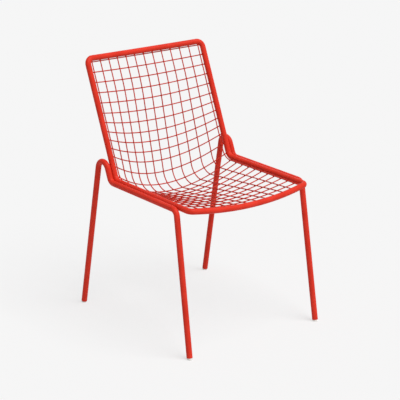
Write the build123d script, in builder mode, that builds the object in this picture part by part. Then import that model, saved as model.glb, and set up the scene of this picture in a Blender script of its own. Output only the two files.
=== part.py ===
from build123d import *
from math import sqrt
import os

# Metal stacking chair: a closed loop of bent tube carries a bucket of welded wire, on two bent tube leg frames.
# Millimetres, +Z up, the chair faces -Y, and the origin is on the floor under the middle of the chair.

# Tube stock and the small gaps between welded pieces
tube_d = 18.0
tube_wall = 1.5
weld_gap = 0.2
wire_gap = 0.15
wire_end_gap = 0.3

# Seat and back frame, measured on the tube's centre line
frame_half = 218.6
seat_z = 442.0
seat_front_y = -253.5
seat_back_y = 119.0
back_top_y = 268.0
back_rise = 352.0
top_corner_r = 20.0
front_corner_r = 16.0
seat_bend_r = 25.0
rail_run = 4.0
top_bow = 17.0
top_drop = 5.0
front_bow = 19.0
front_drop = 15.2

# Leg frames: set a little below and behind the frame, with a tight hoop behind each upright
leg_set = 2.6
hoop_rise = 118.4
hoop_r = 26.0
leg_bend_r = 21.0
leg_front_y = -214.5
foot_half = 243.0
front_foot_y = -285.0
rear_foot_y = 279.5
foot_z = 5.4

# Wire bucket: its depth behind and below the frame's seat bend, and its bend radii there and at the sides
wire_d = 3.5
wire_sides = 6
bucket_back = 45.4
bucket_drop = 79.0
bucket_bend_r = 62.0
bucket_side_r = 40.0
knee_drop = 108.0
knee_r = 600.0

# Wire grid: counts and first spaces
long_count = 13
cross_count = 25
side_space = 5.5
top_space = 11.5
front_space_side = 8.5
front_space_middle = 31.0

# Spaces between cross wires in the middle, and the row at which each new space starts
back_pitch = 34.8
hip_pitch = 31.9
bend_pitch = 37.4
seat_pitch = 33.9
hip_row = 7
bend_row = 10
seat_row = 12

# How much closer the cross wires lie at the sides, beside the bucket and elsewhere
bucket_row = 5
bucket_closing = 5.9
side_closing = 2.8

# Foot glides and weld beads
stem_length = 24.0
stem_clearance = 0.15
stem_lead = 2.0
glide_d = 16.2
bead_d = 5.0
rail_bead = 30.0
upright_bead = 12.0

tube_r = tube_d / 2
wire_r = wire_d / 2
weld_space = tube_d + weld_gap
leg_half = frame_half + sqrt(weld_space**2 - leg_set**2)
bucket_half = frame_half - tube_r - wire_r
long_pitch = 2 * (bucket_half - side_space) / (long_count - 1)
back_top_z = seat_z + back_rise

# Directions in the plane of the back: up along it, and out behind it
back_up = Vector(0, back_top_y - seat_back_y, back_rise).normalized()
back_out = Vector(0, back_up.Z, -back_up.Y)


def rail_apex(reach):
    """Where the two tangents of a rail's long arc meet, as a multiple of the rail's bow."""
    return 1 / (1 - reach / (2 * frame_half))


# Each rail is one long arc between its corner bends
top_sag = Vector(0, top_bow, -top_drop)
front_sag = Vector(0, -front_bow, -front_drop)
top_reach = frame_half - top_corner_r - rail_run
front_reach = frame_half - front_corner_r - rail_run
top_apex = top_sag * rail_apex(top_reach)
front_apex = front_sag * rail_apex(front_reach)
top_rail_r = top_reach * frame_half / top_apex.length
front_rail_r = front_reach * frame_half / front_apex.length

top_right = Vector(frame_half, back_top_y, back_top_z)
top_left = Vector(-frame_half, back_top_y, back_top_z)
bend_right = Vector(frame_half, seat_back_y, seat_z)
bend_left = Vector(-frame_half, seat_back_y, seat_z)
front_right = Vector(frame_half, seat_front_y, seat_z)
front_left = Vector(-frame_half, seat_front_y, seat_z)
joint_right = (top_right + bend_right) / 2
joint_left = (top_left + bend_left) / 2
top_middle = (top_left + top_right) / 2 + top_apex
front_middle = (front_left + front_right) / 2 + front_apex

# Centre lines of the frame: the back hoop above the middle of the uprights, and the seat hoop below it
with BuildLine() as back_hoop:
    FilletPolyline(
        joint_left,
        top_left,
        top_middle,
        top_right,
        joint_right,
        radius=[top_corner_r, top_rail_r, top_corner_r],
    )
with BuildLine() as seat_hoop:
    FilletPolyline(
        joint_right,
        bend_right,
        front_right,
        front_middle,
        front_left,
        bend_left,
        joint_left,
        radius=[seat_bend_r, front_corner_r, front_rail_r, front_corner_r, seat_bend_r],
    )
frame_line = Wire(back_hoop.edges() + seat_hoop.edges())


def across(path):
    """The plane square to a path at its start."""
    return Plane(origin=path @ 0, z_dir=path % 0)


def tube_section(path):
    """The ring that is swept into a tube."""
    with BuildSketch(across(path)) as ring:
        Circle(tube_r)
        Circle(tube_r - tube_wall, mode=Mode.SUBTRACT)
    return ring.sketch


os.makedirs("parts", exist_ok=True)
nodes = {}

# Seat and back frame: one closed loop of tube
with BuildPart() as seat_back_frame:
    sweep(sections=tube_section(back_hoop.line), path=back_hoop.wire())
    sweep(sections=tube_section(seat_hoop.line), path=seat_hoop.wire())
nodes["seat_back_frame"] = seat_back_frame

# Centre lines of the leg frames: rear foot, hoop, down the upright, along the side rail, front foot
leg_z = seat_z - leg_set
leg_bend_y = seat_back_y + leg_set * (1 - back_up.Y) / back_up.Z
hoop_y = leg_bend_y + hoop_rise * back_up.Y / back_up.Z
legs = {}
for side, side_name in ((1, "left"), (-1, "right")):
    with BuildLine() as leg_line:
        FilletPolyline(
            (side * foot_half, rear_foot_y, foot_z),
            (side * leg_half, hoop_y, leg_z + hoop_rise),
            (side * leg_half, leg_bend_y, leg_z),
            (side * leg_half, leg_front_y, leg_z),
            (side * foot_half, front_foot_y, foot_z),
            radius=[hoop_r, leg_bend_r, leg_bend_r],
        )
    legs[side_name] = leg_line.wire()

# Leg frames: one bent tube on each side
for side_name, leg in legs.items():
    with BuildPart() as leg_frame:
        sweep(sections=tube_section(leg), path=leg)
    nodes["leg_frame_" + side_name] = leg_frame

# Foot glides: round plugs in the tube ends, with a collar that the floor plane trims flat
stem_r = tube_r - tube_wall - stem_clearance
with BuildPart() as foot_glides:
    for leg in legs.values():
        for end in (0, 1):
            tip = leg @ end
            down = leg % end * (2 * end - 1)
            with BuildSketch(Plane(origin=tip, x_dir=down, z_dir=down.cross(Vector(0, 0, 1)))):
                with BuildLine():
                    Polyline(
                        (-stem_length, 0),
                        (-stem_length, stem_r - stem_lead / 2),
                        (stem_lead - stem_length, stem_r),
                        (stem_clearance, stem_r),
                        (stem_clearance, glide_d / 2),
                        (foot_z + glide_d / 2, glide_d / 2),
                        (foot_z + glide_d / 2, 0),
                        close=True,
                    )
                make_face()
            revolve(axis=Axis(tip, down))
    split(bisect_by=Plane.XY, keep=Keep.TOP)
nodes["foot_glides"] = foot_glides

# Weld beads: two in the groove under each side rail and one in the groove behind each upright
bead_r = bead_d / 2
bead_depth = sqrt((tube_r + bead_r + weld_gap) ** 2 - (weld_space / 2) ** 2)


def groove_spot(leg_point, way, outside):
    """Middle of a bead that lies on both tubes, beside a point of the leg's line, outside the chair's bend."""
    side = 1 if leg_point.X > 0 else -1
    to_frame = Vector(side * (frame_half - leg_half), 0, 0) - outside * leg_set
    depth = to_frame.cross(way).normalized() * side * bead_depth
    return leg_point + to_frame / 2 + depth


rearward = Vector(0, 1, 0)
under = Vector(0, 0, -1)
for side_name, leg in legs.items():
    runs = leg.edges().filter_by(GeomType.LINE).sort_by(Axis.Z)
    rail_ends = sorted((runs[-2] @ 0, runs[-2] @ 1), key=lambda point: point.Y)
    upright_ends = sorted((runs[-1] @ 0, runs[-1] @ 1), key=lambda point: point.Z)
    with BuildPart() as weld_beads:
        for start, way, length in (
            (groove_spot(rail_ends[0], rearward, under), rearward, rail_bead),
            (groove_spot(rail_ends[1], rearward, under), rearward * -1, rail_bead),
            (groove_spot(upright_ends[1], back_up, back_out), back_up * -1, upright_bead),
        ):
            with BuildSketch(Plane(origin=start, z_dir=way)):
                Circle(bead_r)
            extrude(amount=length)
    nodes["weld_beads_" + side_name] = weld_beads


def depth_share(x):
    """Share of the bucket's full depth at a distance from the middle: 1 in the middle, 0 at the frame."""
    return 1 - (x / bucket_half) ** 2


def bucket_points(x):
    """Corner points of a long wire: top rail, knee, seat bend and front rail."""
    share = depth_share(x)
    top_share = 1 - x**2 / (2 * top_rail_r * top_sag.length)
    front_share = 1 - x**2 / (2 * front_rail_r * front_sag.length)
    top = Vector(x, back_top_y, back_top_z) + top_sag * top_share
    knee = top - back_up * knee_drop
    bend = Vector(x, seat_back_y + bucket_back * share, seat_z - bucket_drop * share)
    front = Vector(x, seat_front_y, seat_z) + front_sag * front_share
    return top, knee, bend, front


def bucket_radii(x):
    """Bend radii of a long wire at its knee and at the seat bend."""
    return [knee_r, bucket_side_r + (bucket_bend_r - bucket_side_r) * depth_share(x)]


def end_at_tube(inner, outer):
    """Where a wire that runs from inner past outer is cut square, just short of the frame's tube."""
    way = (outer - inner).normalized()
    point = outer - way * tube_d
    for _ in range(12):
        distance, nearest, _ = frame_line.distance_to_with_closest_points(point)
        lean = sqrt(1 - min(1, way.dot(nearest - point) / distance) ** 2)
        point += way * (distance - tube_r - wire_end_gap - wire_r * lean)
    return point


def wire_section(path):
    """The small polygon that is swept into a wire."""
    with BuildSketch(across(path)) as outline:
        RegularPolygon(wire_r, wire_sides)
    return outline.sketch


# Long wires, from the top rail to the front rail
long_x = [(n - (long_count - 1) / 2) * long_pitch for n in range(long_count)]
long_lines = []
for n, x in enumerate(long_x):
    top, knee, bend, front = bucket_points(x)
    with BuildLine() as whole_line:
        FilletPolyline(top, knee, bend, front, radius=bucket_radii(x))
    long_lines.append(whole_line.wire())

    with BuildPart() as long_wire:
        with BuildLine() as wire_line:
            FilletPolyline(
                end_at_tube(knee, top),
                knee,
                bend,
                end_at_tube(bend, front),
                radius=bucket_radii(x),
            )
        sweep(sections=wire_section(wire_line.line), path=wire_line.wire())
    nodes[f"long_wire_{n + 1:02d}"] = long_wire


# Spaces between cross wires, from the top rail to the front rail
row_pitches = (
    [back_pitch] * hip_row
    + [hip_pitch] * (bend_row - hip_row)
    + [bend_pitch] * (seat_row - bend_row)
    + [seat_pitch] * (cross_count - 1 - seat_row)
)
row_closings = (
    [side_closing] * bucket_row
    + [bucket_closing] * (seat_row - bucket_row)
    + [side_closing] * (cross_count - 1 - seat_row)
)


def row_station(row, line, x):
    """Distance of a cross wire from the top rail, along a long wire, with the spaces fitted to its length."""
    share = depth_share(x)
    front_space = front_space_side + (front_space_middle - front_space_side) * share
    spaces = [pitch - closing * (1 - share) for pitch, closing in zip(row_pitches, row_closings)]
    return top_space + (line.length - top_space - front_space) * sum(spaces[:row]) / sum(spaces)


# Cross wires: each one lies on the outside of every long wire that it crosses
for row in range(cross_count):
    spots = []
    ways = []
    for x, line in zip(long_x, long_lines):
        station = row_station(row, line, x)
        spots.append(line.position_at(station, PositionMode.LENGTH))
        ways.append(line.tangent_at(station, PositionMode.LENGTH))
    seats = []
    for n, spot in enumerate(spots):
        before = spots[max(n - 1, 0)]
        after = spots[min(n + 1, long_count - 1)]
        outward = (after - before).cross(ways[n]).normalized()
        seats.append(spot + outward * (wire_d + wire_gap))

    right_end = end_at_tube(seats[1], seats[0])
    left_end = end_at_tube(seats[-2], seats[-1])
    with BuildPart() as cross_wire:
        with BuildLine() as wire_line:
            Polyline(right_end, *seats[1:-1], left_end)
        sweep(
            sections=wire_section(wire_line.line),
            path=wire_line.wire(),
            transition=Transition.RIGHT,
        )
    nodes[f"cross_wire_{row + 1:02d}"] = cross_wire

for name, node in nodes.items():
    node.part.label = name
    export_step(node.part, f"parts/{name}.step")
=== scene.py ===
import bpy
from math import cos, radians, sin
from mathutils import Matrix, Vector
from mathutils.bvhtree import BVHTree


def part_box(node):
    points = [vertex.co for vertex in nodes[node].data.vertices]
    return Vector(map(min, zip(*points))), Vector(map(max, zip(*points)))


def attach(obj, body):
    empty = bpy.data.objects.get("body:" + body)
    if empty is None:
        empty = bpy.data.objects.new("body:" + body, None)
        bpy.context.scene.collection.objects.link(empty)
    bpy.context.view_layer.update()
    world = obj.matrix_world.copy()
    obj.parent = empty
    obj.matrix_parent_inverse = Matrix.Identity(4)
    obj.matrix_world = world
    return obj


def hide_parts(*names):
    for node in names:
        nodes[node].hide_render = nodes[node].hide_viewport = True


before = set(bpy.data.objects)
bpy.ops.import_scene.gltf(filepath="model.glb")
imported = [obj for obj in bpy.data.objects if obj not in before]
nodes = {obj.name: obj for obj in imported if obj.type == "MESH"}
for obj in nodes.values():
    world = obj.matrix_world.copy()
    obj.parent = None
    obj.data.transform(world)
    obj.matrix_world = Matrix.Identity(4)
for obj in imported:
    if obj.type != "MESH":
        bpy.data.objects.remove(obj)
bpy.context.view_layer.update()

# Seat and back frame: one closed loop of 18 mm round steel tube, bent cold and welded end to end.
# It is coated all over, with every wire in place, in a satin orange-red polyester powder that is baked on.
# The bake leaves a faint orange peel, and a coat that is thicker, and so deeper in tone, in some places.
mm = 0.001
tube_red_thick, tube_red_thin = "#CE301F", "#D83726"
coat_drift = 45 * mm
tone_spread = (0.35, 0.65)
gloss_spread = (0.3, 0.7)
thick_roughness, thin_roughness = 0.48, 0.4
coat_ior = 1.5
coat_gloss = 0.1
peel_pitch = 2 * mm
peel_depth = 0.06 * mm
peel_strength = 0.35


def linear(code):
    """A colour written as sRGB hex, as the linear values that a shader takes."""
    parts = [int(code[k:k + 2], 16) / 255 for k in (1, 3, 5)]
    return [c / 12.92 if c <= 0.04045 else ((c + 0.055) / 1.055) ** 2.4 for c in parts] + [1.0]


def add_node(tree, kind, links=(), values=(), **settings):
    """Adds a node, sets its settings and its unlinked sockets, and links the sockets that are named."""
    made = tree.nodes.new(kind)
    for name, value in settings.items():
        setattr(made, name, value)
    for socket, value in dict(values).items():
        made.inputs[socket].default_value = value
    for socket, source in dict(links).items():
        tree.links.new(source, made.inputs[socket])
    return made


def powder_coat(name, thick, thin, depth):
    """Baked polyester powder: satin, with a slow drift of tone and gloss and a fine orange peel."""
    material = bpy.data.materials.new(name)
    material.use_nodes = True
    tree = material.node_tree
    coat = tree.nodes["Principled BSDF"]
    place = add_node(tree, "ShaderNodeTexCoord")
    drift = add_node(tree, "ShaderNodeTexNoise", {"Vector": place.outputs["Object"]},
                     {"Scale": 1 / coat_drift, "Detail": 2.0, "Roughness": 0.5})
    tone = add_node(tree, "ShaderNodeValToRGB", {"Fac": drift.outputs["Fac"]})
    for stop, position, colour in zip(tone.color_ramp.elements, tone_spread, (thick, thin)):
        stop.position = position
        stop.color = linear(colour)
    tree.links.new(tone.outputs["Color"], coat.inputs["Base Color"])
    peel = add_node(tree, "ShaderNodeTexNoise", {"Vector": place.outputs["Object"]},
                    {"Scale": 1 / peel_pitch, "Detail": 1.0, "Roughness": 0.4})
    relief = add_node(tree, "ShaderNodeBump", {"Height": peel.outputs["Fac"]},
                      {"Strength": peel_strength, "Distance": depth})
    tree.links.new(relief.outputs["Normal"], coat.inputs["Normal"])
    gloss = add_node(tree, "ShaderNodeMapRange", {"Value": drift.outputs["Fac"]},
                     {"From Min": gloss_spread[0], "From Max": gloss_spread[1],
                      "To Min": thick_roughness, "To Max": thin_roughness})
    tree.links.new(gloss.outputs["Result"], coat.inputs["Roughness"])
    coat.inputs["IOR"].default_value = coat_ior
    coat.inputs["Specular IOR Level"].default_value = coat_gloss
    return material


def finish_node(name, material):
    """Gives a CAD node its material in place of the plain one that it came with."""
    nodes[name].data.materials.clear()
    nodes[name].data.materials.append(material)


tube_coat = powder_coat("satin_red_powder_coat_on_tube", tube_red_thick, tube_red_thin, peel_depth)
finish_node("seat_back_frame", tube_coat)

# Leg frames: one tube on each side, bent with a tight hoop behind the upright, with the same coat.
# Each lies beside the loop along the upright and the side rail, and its two ends are the feet.
finish_node("leg_frame_left", tube_coat)
finish_node("leg_frame_right", tube_coat)

# Weld beads: three short runs on each side, in the grooves between a leg frame and the loop.
# They are laid by hand with a wire welder, so each is a row of overlapping ripples under the coat.
# Each ripple is modelled as a flattened ball, and the row is melted together by a remesh.
ripple_pitch = 2.2 * mm
ripple_r = 2.4 * mm
ripple_half = 1.9 * mm
ripple_melt = 0.45 * mm
merge_reach = 0.001 * mm


def add_part(name, mesh):
    """Adds a mesh as a new object, which is then the only one selected."""
    bpy.ops.object.select_all(action="DESELECT")
    part = bpy.data.objects.new(name, mesh)
    bpy.context.collection.objects.link(part)
    part.select_set(True)
    bpy.context.view_layer.objects.active = part
    return part


def copy_node(node, name):
    """A copy of a CAD node's mesh as a new piece, merged, with all of it selected in edit mode."""
    part = add_part(name, nodes[node].data.copy())
    bpy.ops.mesh.customdata_custom_splitnormals_clear()
    bpy.ops.object.mode_set(mode="EDIT")
    bpy.ops.mesh.select_all(action="SELECT")
    bpy.ops.mesh.remove_doubles(threshold=merge_reach)
    return part


def apply_modifier(part, kind, **settings):
    """Adds a modifier to the active piece and applies it."""
    modifier = part.modifiers.new(kind.lower(), kind)
    for name, value in settings.items():
        setattr(modifier, name, value)
    bpy.ops.object.modifier_apply(modifier=modifier.name)


def join_copies(pattern, places, name):
    """Copies a modelled pattern to each place, joins the copies as one piece and takes the pattern away."""
    copies = []
    for spot in places:
        mesh = pattern.data.copy()
        mesh.transform(spot)
        copies.append(add_part(name, mesh))
    for part in copies:
        part.select_set(True)
    joined = copies[0]
    bpy.context.view_layer.objects.active = joined
    bpy.ops.object.join()
    bpy.data.objects.remove(pattern)
    joined.name = name
    return joined


def facing(spot, up, along):
    """The place of a pattern at a spot, with its Z axis up and its X axis as near along as can be."""
    up = up.normalized()
    across = up.cross(along).normalized()
    return Matrix.Translation(spot) @ Matrix((across.cross(up), across, up)).transposed().to_4x4()


def hand_over(part, slot, material, *replaced):
    """Gives a finished piece its material and body, and hides the CAD nodes that it stands for. The slot is
    not used.
    """
    part.data.materials.clear()
    part.data.materials.append(material)
    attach(part, "root")
    if replaced:
        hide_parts(*replaced)


for side in ("left", "right"):
    node = "weld_beads_" + side
    copy_node(node, node + "_plain")
    bpy.ops.mesh.separate(type="LOOSE")
    bpy.ops.object.mode_set(mode="OBJECT")
    places = []
    for bar in list(bpy.context.selected_objects):
        corners = [v.co.copy() for v in bar.data.vertices]
        spans = [max(c[k] for c in corners) - min(c[k] for c in corners) for k in range(3)]
        long_way = spans.index(max(spans))
        middle = sum(corners, Vector()) / len(corners)
        ends = []
        for sign in (-1, 1):
            ring = [c for c in corners if sign * (c - middle)[long_way] > 0]
            ends.append(sum(ring, Vector()) / len(ring))
        run = ends[1] - ends[0]
        room = run.length - 2 * ripple_half
        count = round(room / ripple_pitch)
        for n in range(count + 1):
            inset = ripple_half + room * n / count
            places.append(facing(ends[0] + run.normalized() * inset, Vector((1, 0, 0)), run))
        bpy.data.objects.remove(bar)
    bpy.ops.object.select_all(action="DESELECT")
    bpy.ops.mesh.primitive_uv_sphere_add(segments=12, ring_count=8, radius=ripple_r)
    ripple = bpy.context.object
    bpy.ops.object.mode_set(mode="EDIT")
    bpy.ops.transform.resize(value=(ripple_half / ripple_r, 1, 1))
    bpy.ops.object.mode_set(mode="OBJECT")
    beads = join_copies(ripple, places, node + "_rippled")
    apply_modifier(beads, "REMESH", mode="VOXEL", voxel_size=ripple_melt)
    apply_modifier(beads, "SMOOTH", factor=0.5, iterations=2)
    bpy.ops.object.shade_smooth()
    hand_over(beads, "powder_coat", tube_coat, node)

# Foot glides: plugs of natural polyethylene, moulded in one piece and pushed into the four tube ends.
# Each has a stem in the bore and a collar below the tube, whose lower edge is rounded so that it slides.
# Natural polyethylene is milky white and waxy, and the glide is coloured greyer towards its bottom.
glide_white, glide_bottom_grey = "#E6E5E0", "#B3B2AD"
bottom_grey_height = 1.6 * mm
mould_grain = 0.5 * mm
grain_depth = 0.03 * mm
grain_strength = 0.3
grain_spread = (0.3, 0.7)
waxy_roughness, dull_roughness = 0.4, 0.52
polyethylene_ior = 1.51
sole_round = 2.6 * mm
sole_height = 0.01 * mm
flat_turn = radians(1)
glide_edge = radians(40)

polyethylene = bpy.data.materials.new("moulded_natural_polyethylene")
polyethylene.use_nodes = True
tree = polyethylene.node_tree
plastic = tree.nodes["Principled BSDF"]
place = add_node(tree, "ShaderNodeTexCoord")
height = add_node(tree, "ShaderNodeSeparateXYZ", {"Vector": place.outputs["Object"]})
# Greyer towards the bottom of the glide, over its lowest 1.6 mm.
bottom_grey_mask = add_node(tree, "ShaderNodeMapRange", {"Value": height.outputs["Z"]},
                 {"From Min": 0.0, "From Max": bottom_grey_height})
tone = add_node(tree, "ShaderNodeValToRGB", {"Fac": bottom_grey_mask.outputs["Result"]})
for stop, colour in zip(tone.color_ramp.elements, (glide_bottom_grey, glide_white)):
    stop.color = linear(colour)
tree.links.new(tone.outputs["Color"], plastic.inputs["Base Color"])
grain = add_node(tree, "ShaderNodeTexNoise", {"Vector": place.outputs["Object"]},
                 {"Scale": 1 / mould_grain, "Detail": 2.0})
wax = add_node(tree, "ShaderNodeMapRange", {"Value": grain.outputs["Fac"]},
               {"From Min": grain_spread[0], "From Max": grain_spread[1],
                "To Min": waxy_roughness, "To Max": dull_roughness})
tree.links.new(wax.outputs["Result"], plastic.inputs["Roughness"])
relief = add_node(tree, "ShaderNodeBump", {"Height": grain.outputs["Fac"]},
                  {"Strength": grain_strength, "Distance": grain_depth})
tree.links.new(relief.outputs["Normal"], plastic.inputs["Normal"])
plastic.inputs["IOR"].default_value = polyethylene_ior


def pick_edges(part, wanted):
    """Puts the active piece in edit mode with just those edges selected whose two points are wanted."""
    bpy.ops.object.mode_set(mode="EDIT")
    bpy.ops.mesh.select_mode(type="EDGE")
    bpy.ops.mesh.select_all(action="DESELECT")
    bpy.ops.object.mode_set(mode="OBJECT")
    points = part.data.vertices
    for edge in part.data.edges:
        edge.select = all(wanted(points[k].co) for k in edge.vertices)
    bpy.ops.object.mode_set(mode="EDIT")


glides = copy_node("foot_glides", "foot_glides_rounded")
bpy.ops.mesh.dissolve_limited(angle_limit=flat_turn)
pick_edges(glides, lambda p: p.z < sole_height)
bpy.ops.mesh.bevel(offset=sole_round, offset_type="OFFSET", segments=4, clamp_overlap=True)
bpy.ops.object.mode_set(mode="OBJECT")
bpy.ops.object.shade_smooth_by_angle(angle=glide_edge)
hand_over(glides, "foot_glide", polyethylene, "foot_glides")

# Long wires: 13 round steel wires from the top rail to the front rail, pressed to the bucket's shape.
# The coat on the wire is the same as on the tube, but its red is made deeper as painted shade for thin wires
# in the shade of the grid.
# Each CAD wire is a six-sided bar, and a rounded copy of it takes its place.
wire_d = 3.5 * mm
# Deeper reds than the tube's: painted shade on the thin wires.
shaded_wire_red_thick, shaded_wire_red_thin = "#BA2B1B", "#C63121"
wire_peel_depth = 0.02 * mm
round_share = 5 / 6
quad_bend, quad_skew = radians(40), radians(60)
cut_edge = radians(75)
smooth_edge = radians(50)

wire_coat_with_painted_shade = powder_coat("satin_red_powder_coat_on_wire_with_painted_shade", shaded_wire_red_thick, shaded_wire_red_thin, wire_peel_depth)


def round_wire(node):
    """A round copy of a six-sided CAD wire, with its cut ends kept square by a crease.

    Subdivision draws a hexagon in to 5/6 of its radius, so the bar is fattened first to keep its size.
    """
    wire = copy_node(node, node + "_round")
    bpy.ops.mesh.tris_convert_to_quads(face_threshold=quad_bend, shape_threshold=quad_skew)
    bpy.ops.transform.shrink_fatten(value=wire_d / 2 * (1 / round_share - 1))
    bpy.ops.mesh.select_all(action="DESELECT")
    bpy.ops.mesh.select_mode(type="EDGE")
    bpy.ops.mesh.edges_select_sharp(sharpness=cut_edge)
    bpy.ops.transform.edge_crease(value=1.0)
    bpy.ops.object.mode_set(mode="OBJECT")
    apply_modifier(wire, "SUBSURF", levels=2, render_levels=2)
    bpy.ops.object.shade_smooth_by_angle(angle=smooth_edge)
    hand_over(wire, "powder_coat", wire_coat_with_painted_shade, node)
    return wire


long_wires = [round_wire(name) for name in sorted(nodes) if name.startswith("long_wire")]

# Cross wires: 25 of the same wire from side to side, laid behind and under the long wires.
# The grid is made flat by spot welding and then pressed, so each cross wire follows the bucket.
# The CAD solids of the first and the last stop just before the frame's corners, so these two are drawn out.
first_reach = 10.5 * mm
last_reach = 6.5 * mm


def cut_middle(wire, x):
    """Middle of a cross wire's section in the plane at x, and the wire's way there."""
    points = wire.data.vertices
    cuts = []
    way = Vector()
    for edge in wire.data.edges:
        a, b = (points[k].co for k in edge.vertices)
        if (a.x - x) * (b.x - x) < 0:
            cuts.append(a.lerp(b, (x - a.x) / (b.x - a.x)))
            way += (b - a) if b.x > a.x else (a - b)
    return sum(cuts, Vector()) / len(cuts), way.normalized()


def draw_out(wire, length):
    """Draws both ends of a finished cross wire out by a length, each along its own way."""
    bpy.ops.object.select_all(action="DESELECT")
    wire.select_set(True)
    bpy.context.view_layer.objects.active = wire
    for side in (-1, 1):
        tip = max(side * v.co.x for v in wire.data.vertices)
        way = side * cut_middle(wire, side * (tip - wire_d))[1]
        pick_edges(wire, lambda p: side * p.x > tip - wire_d / 2)
        bpy.ops.transform.translate(value=length * way)
        bpy.ops.object.mode_set(mode="OBJECT")


cross_wires = [round_wire(name) for name in sorted(nodes) if name.startswith("cross_wire")]
draw_out(cross_wires[0], first_reach)
draw_out(cross_wires[-1], last_reach)

# Spot welds: where two wires cross, current melts them together, and the metal that is pressed out leaves
# a small flat lump around each crossing.
nugget_r = 2.6 * mm
nugget_half = 1.3 * mm


def surface(part):
    """A search tree of a mesh's faces."""
    mesh = part.data
    return BVHTree.FromPolygons([v.co for v in mesh.vertices], [p.vertices for p in mesh.polygons])


def add_nugget(radius, half):
    """A lump of weld metal, modelled once: a coarse ball pressed flat, as round as its size needs."""
    bpy.ops.object.select_all(action="DESELECT")
    bpy.ops.mesh.primitive_uv_sphere_add(segments=8, ring_count=4, radius=radius)
    bpy.ops.object.mode_set(mode="EDIT")
    bpy.ops.transform.resize(value=(1, 1, half / radius))
    bpy.ops.object.mode_set(mode="OBJECT")
    bpy.ops.object.shade_smooth()
    return bpy.context.object


places = []
for long_wire in long_wires:
    low, high = (Vector(c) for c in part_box(long_wire.name.removesuffix("_round")))
    wire_x = (low.x + high.x) / 2
    face_tree = surface(long_wire)
    for cross_wire in cross_wires:
        middle, way = cut_middle(cross_wire, wire_x)
        touch = face_tree.find_nearest(middle)[0]
        places.append(facing(touch, middle - touch, way))
spot_welds = join_copies(add_nugget(nugget_r, nugget_half), places, "spot_welds")
# The spot welds take the wire's coat, with its red deepened as painted shade.
hand_over(spot_welds, "powder_coat", wire_coat_with_painted_shade)

# End welds: each wire's cut end is butted on the tube and joined by a small run of weld metal.
# The coat rounds it off to a low collar, one at each of the 76 wire ends.
# A collar is round, so which way it is turned about the wire doesn't show.
collar_r = 3.2 * mm
collar_half = 1.7 * mm
collar_turn = Vector((0.3, 0.5, 0.8))
end_reach = 1.2 * wire_d

tube_tree = surface(nodes["seat_back_frame"])
places = []
for wire in long_wires + cross_wires:
    points = [v.co for v in wire.data.vertices]
    if wire in long_wires:
        ends = (max(points, key=lambda p: p.z), min(points, key=lambda p: p.y))
    else:
        ends = (max(points, key=lambda p: p.x), min(points, key=lambda p: p.x))
    for end in ends:
        near = [p for p in points if (p - end).length < end_reach]
        middle = sum(near, Vector()) / len(near)
        touch = tube_tree.find_nearest(middle)[0]
        places.append(facing(touch, middle - touch, collar_turn))
end_welds = join_copies(add_nugget(collar_r, collar_half), places, "end_welds")
# The end welds take the wire's coat, with its red deepened as painted shade.
hand_over(end_welds, "powder_coat", wire_coat_with_painted_shade)

# Floor: a plain sheet of matt white studio paper. Part of what the camera and reflections see of it
# is an even white, as on an overlit studio table, so the chair's soft shadow stays pale.
paper_white = "#E7E7E7"
table_white = "#F6F6F6"
table_share = 0.7
floor_size = 40


def seen_directly(tree):
    """A socket that is 1 for what the camera, reflections and clear materials see, and 0 for other light."""
    ray = add_node(tree, "ShaderNodeLightPath").outputs
    direct = add_node(tree, "ShaderNodeMath", {0: ray["Is Camera Ray"], 1: ray["Is Glossy Ray"]},
                      operation="MAXIMUM")
    seen = add_node(tree, "ShaderNodeMath", {0: direct.outputs[0], 1: ray["Is Transmission Ray"]},
                    operation="MAXIMUM")
    return seen.outputs[0]


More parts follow.
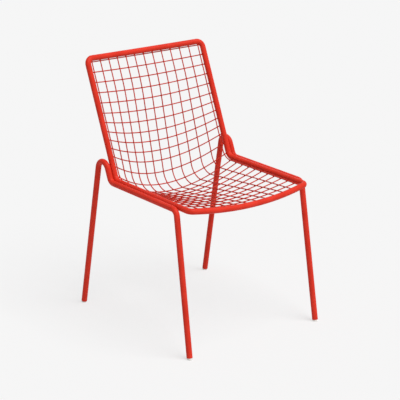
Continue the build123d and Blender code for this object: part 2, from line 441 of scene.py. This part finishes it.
bpy.ops.object.select_all(action="DESELECT")
bpy.ops.mesh.primitive_plane_add(size=floor_size)
floor = bpy.context.object
floor.name = "floor"
paper = bpy.data.materials.new("matt_white_studio_paper")
paper.use_nodes = True
tree = paper.node_tree
sheet = tree.nodes["Principled BSDF"]
sheet.inputs["Base Color"].default_value = linear(paper_white)
sheet.inputs["Roughness"].default_value = 1.0
sheet.inputs["Specular IOR Level"].default_value = 0.0
share = add_node(tree, "ShaderNodeMath", {0: seen_directly(tree)}, {1: table_share}, operation="MULTIPLY")
glow = add_node(tree, "ShaderNodeEmission", values={"Color": linear(table_white), "Strength": 1.0})
lit = add_node(tree, "ShaderNodeMixShader", {0: share.outputs[0], 1: sheet.outputs[0], 2: glow.outputs[0]})
tree.links.new(lit.outputs[0], tree.nodes["Material Output"].inputs["Surface"])
floor.data.materials.append(paper)

# Light: a soft white room and one broad lamp, high above the chair and to the right of the camera.
# Beyond the floor, the camera sees the same white as on the table.
room_white = "#FFFFFF"
room_light = 0.27
lamp_energy = 3.1
lamp_spread = radians(40)
lamp_height, lamp_turn = radians(63), radians(55)
azimuth, elevation = radians(-37.1), radians(18.1)

to_right = Vector((cos(azimuth), sin(azimuth), 0))
to_camera = Vector((sin(azimuth), -cos(azimuth), 0))
to_sky = Vector((0, 0, 1))
world = bpy.data.worlds.new("studio")
bpy.context.scene.world = world
world.use_nodes = True
tree = world.node_tree
room = tree.nodes["Background"]
room.inputs["Color"].default_value = linear(room_white)
room.inputs["Strength"].default_value = room_light
backdrop = add_node(tree, "ShaderNodeBackground", values={"Color": linear(table_white), "Strength": 1.0})
around = add_node(tree, "ShaderNodeMixShader",
                  {0: seen_directly(tree), 1: room.outputs[0], 2: backdrop.outputs[0]})
tree.links.new(around.outputs[0], tree.nodes["World Output"].inputs["Surface"])
beside = sin(lamp_turn) * to_right + cos(lamp_turn) * to_camera
lamp_way = sin(lamp_height) * to_sky + cos(lamp_height) * beside
bpy.ops.object.light_add(type="SUN", rotation=lamp_way.to_track_quat("Z", "Y").to_euler())
lamp = bpy.context.object
lamp.data.energy = lamp_energy
lamp.data.angle = lamp_spread

# Camera: at the photograph's viewing angle, from the chair's right front and a little above.
# It looks at a point under the middle of the seat, through a long lens that keeps the perspective slight.
target = Vector((0.0, -0.014, 0.372))
distance = 4.6265
lens = 135.4
sensor = 36.0

bpy.ops.object.camera_add()
camera = bpy.context.object
camera.location = target + distance * (cos(elevation) * to_camera + sin(elevation) * to_sky)
camera.rotation_euler = (target - camera.location).to_track_quat("-Z", "Y").to_euler()
camera.data.lens = lens
camera.data.sensor_width = sensor
bpy.context.scene.camera = camera
bpy.context.scene.view_settings.view_transform = "Standard"
